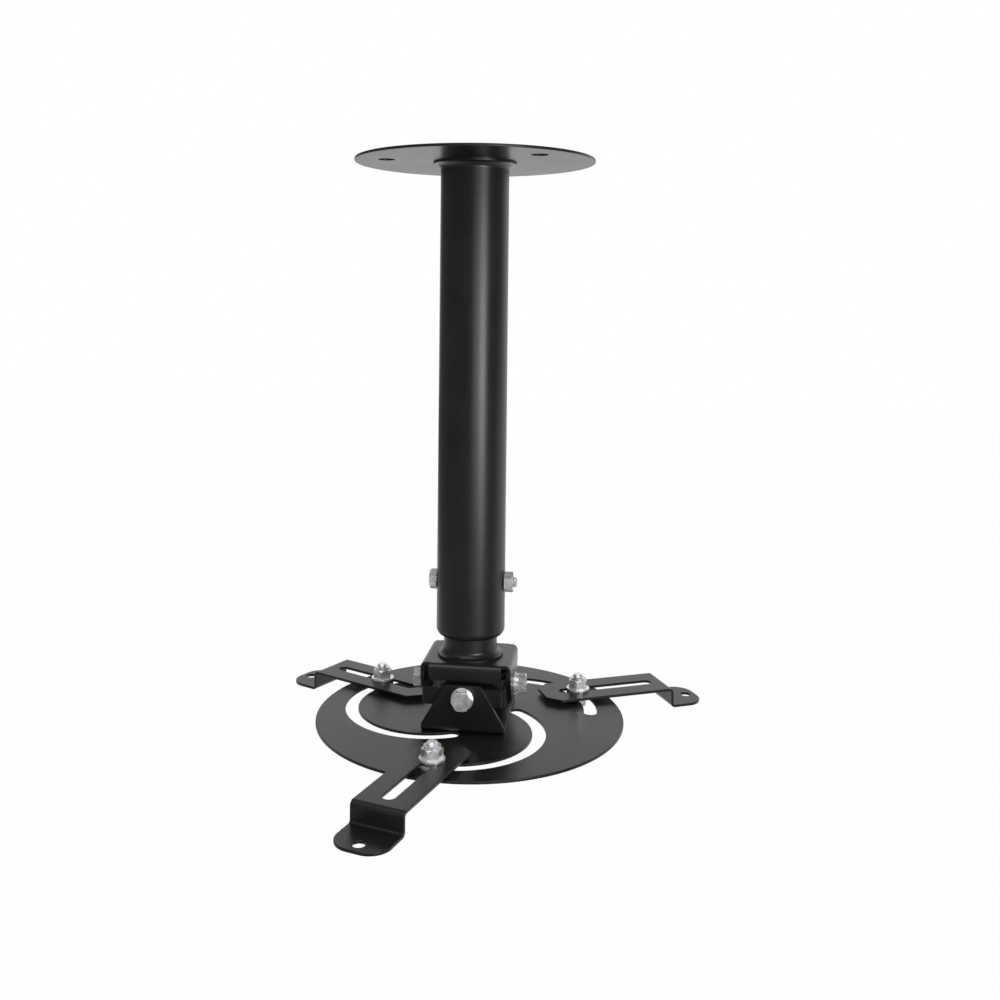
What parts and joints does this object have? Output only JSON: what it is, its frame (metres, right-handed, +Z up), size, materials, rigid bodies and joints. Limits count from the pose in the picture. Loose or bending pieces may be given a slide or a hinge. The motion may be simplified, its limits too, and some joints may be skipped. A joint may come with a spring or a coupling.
{
  "type": "projector ceiling mount",
  "caption": "Telescopic ceiling mount for a projector: round ceiling plate, height-adjustable pole, two-axis tilt bracket and a slotted disc with adjustable arms.",
  "frame": {"origin": "centre of the ceiling plate's top face, which lies against the ceiling", "axes": "+Z up along the pole, X along the tilt axis through the left and right bolts, -Y to the front"},
  "size_m": [0.3268, 0.3022, 0.4169],
  "materials": {
    "black_coat": "satin black powder coat",
    "zinc": "bright zinc plate",
    "guide_plastic": "moulded black plastic"
  },
  "bodies": {
    "pole": {"ceiling_plate": "black_coat", "outer_tube": "black_coat", "pole_bolt": "zinc", "pole_nut": "zinc"},
    "inner_pole": {"inner_tube": "black_coat", "guide_ring": "guide_plastic", "foot_disc": "black_coat", "swivel_bolt": "zinc", "swivel_lower_washer": "zinc", "swivel_upper_washer": "zinc", "swivel_nut": "zinc"},
    "upper_gimbal": {"upper_bracket": "black_coat", "tilt_bolt_left": "zinc", "tilt_washer_left": "zinc", "tilt_spring_washer_left": "zinc", "tilt_nut_left": "zinc", "tilt_bolt_right": "zinc", "tilt_washer_right": "zinc", "tilt_spring_washer_right": "zinc", "tilt_nut_right": "zinc"},
    "middle_gimbal": {"cross_frame": "black_coat", "roll_bolt_front": "zinc", "roll_washer_front": "zinc", "roll_bolt_back": "zinc", "roll_washer_back": "zinc"},
    "spider": {"lower_bracket": "black_coat", "spider_plate": "black_coat"},
    "clamp_bolt_front": {"clamp_bolt_front": "zinc", "clamp_spacer_front": "zinc"},
    "clamp_nut_front": {"clamp_nut_front": "zinc", "clamp_washer_front": "zinc"},
    "arm_front": {"arm_front": "black_coat"},
    "clamp_bolt_right": {"clamp_bolt_right": "zinc", "clamp_spacer_right": "zinc"},
    "clamp_nut_right": {"clamp_nut_right": "zinc", "clamp_washer_right": "zinc"},
    "arm_right": {"arm_right": "black_coat"},
    "clamp_bolt_left": {"clamp_bolt_left": "zinc", "clamp_spacer_left": "zinc"},
    "clamp_nut_left": {"clamp_nut_left": "zinc", "clamp_washer_left": "zinc"},
    "arm_left": {"arm_left": "black_coat"}
  },
  "joints": [
    {"name": "height", "type": "slide", "parent": "pole", "child": "inner_pole", "axis": [0, 0, -1], "range_m": [0, 0.216]},
    {"name": "swivel", "type": "hinge", "parent": "inner_pole", "child": "upper_gimbal", "pos_m": [0, 0, -0.361], "axis": [0, 0, 1], "continuous": true},
    {"name": "tilt", "type": "hinge", "parent": "upper_gimbal", "child": "middle_gimbal", "pos_m": [0, 0, -0.3815], "axis": [1, 0, 0], "range_deg": [-15, 15]},
    {"name": "roll", "type": "hinge", "parent": "middle_gimbal", "child": "spider", "pos_m": [0, 0, -0.3815], "axis": [0, 1, 0], "range_deg": [-15, 15]},
    {"name": "front_bolt_travel", "type": "hinge", "parent": "spider", "child": "clamp_bolt_front", "pos_m": [-0.0042, -0.03424, -0.406], "axis": [0, 0, 1], "range_deg": [-11, 45]},
    {"name": "front_arm_swing", "type": "hinge", "parent": "clamp_bolt_front", "child": "clamp_nut_front", "pos_m": [-0.01127, -0.09181, -0.406], "axis": [0, 0, 1], "range_deg": [-20, 20]},
    {"name": "front_arm_slide", "type": "slide", "parent": "clamp_nut_front", "child": "arm_front", "axis": [-0.284, -0.9588, 0], "range_m": [-0.008, 0.0105]},
    {"name": "right_bolt_travel", "type": "hinge", "parent": "spider", "child": "clamp_bolt_right", "pos_m": [0.02973, 0.01751, -0.406], "axis": [0, 0, 1], "range_deg": [-35, 30]},
    {"name": "right_arm_swing", "type": "hinge", "parent": "clamp_bolt_right", "child": "clamp_nut_right", "pos_m": [0.07694, 0.05119, -0.406], "axis": [0, 0, 1], "range_deg": [-20, 20]},
    {"name": "right_arm_slide", "type": "slide", "parent": "clamp_nut_right", "child": "arm_right", "axis": [0.9063, 0.4226, 0], "range_m": [-0.008, 0.0105]},
    {"name": "left_bolt_travel", "type": "hinge", "parent": "spider", "child": "clamp_bolt_left", "pos_m": [-0.03221, 0.01236, -0.406], "axis": [0, 0, 1], "range_deg": [-3, 40]},
    {"name": "left_arm_swing", "type": "hinge", "parent": "clamp_bolt_left", "child": "clamp_nut_left", "pos_m": [-0.07696, 0.04926, -0.406], "axis": [0, 0, 1], "range_deg": [-20, 10]},
    {"name": "left_arm_slide", "type": "slide", "parent": "clamp_nut_left", "child": "arm_left", "axis": [-0.8988, 0.4384, 0], "range_m": [0, 0.0275]}
  ]
}
